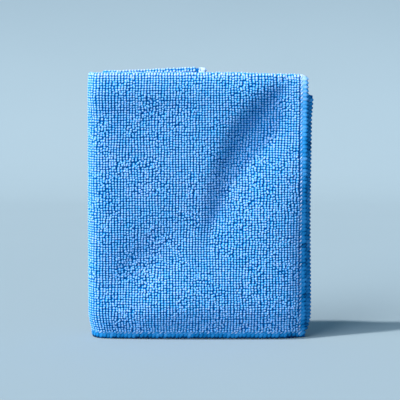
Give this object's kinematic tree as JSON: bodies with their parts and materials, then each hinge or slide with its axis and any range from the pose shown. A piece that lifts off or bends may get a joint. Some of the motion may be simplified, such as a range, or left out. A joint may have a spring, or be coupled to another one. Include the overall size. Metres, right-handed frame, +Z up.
{
  "type": "folded microfibre cloth",
  "caption": "Looped microfibre cleaning cloth with overlocked edges, folded into an upright rectangular stack that stands on its bottom hem.",
  "frame": {"origin": "middle of the underside of the folded cloth's box, on the surface it stands on", "axes": "+X along the front from left to right, from the fold to the hem; +Y from the front panel to the back; +Z up"},
  "size_m": [0.1168, 0.0218, 0.141],
  "materials": {
    "microfibre": "soft looped pile, matt, pale blue"
  },
  "bodies": {
    "root": {"cloth": "microfibre"}
  },
  "joints": []
}
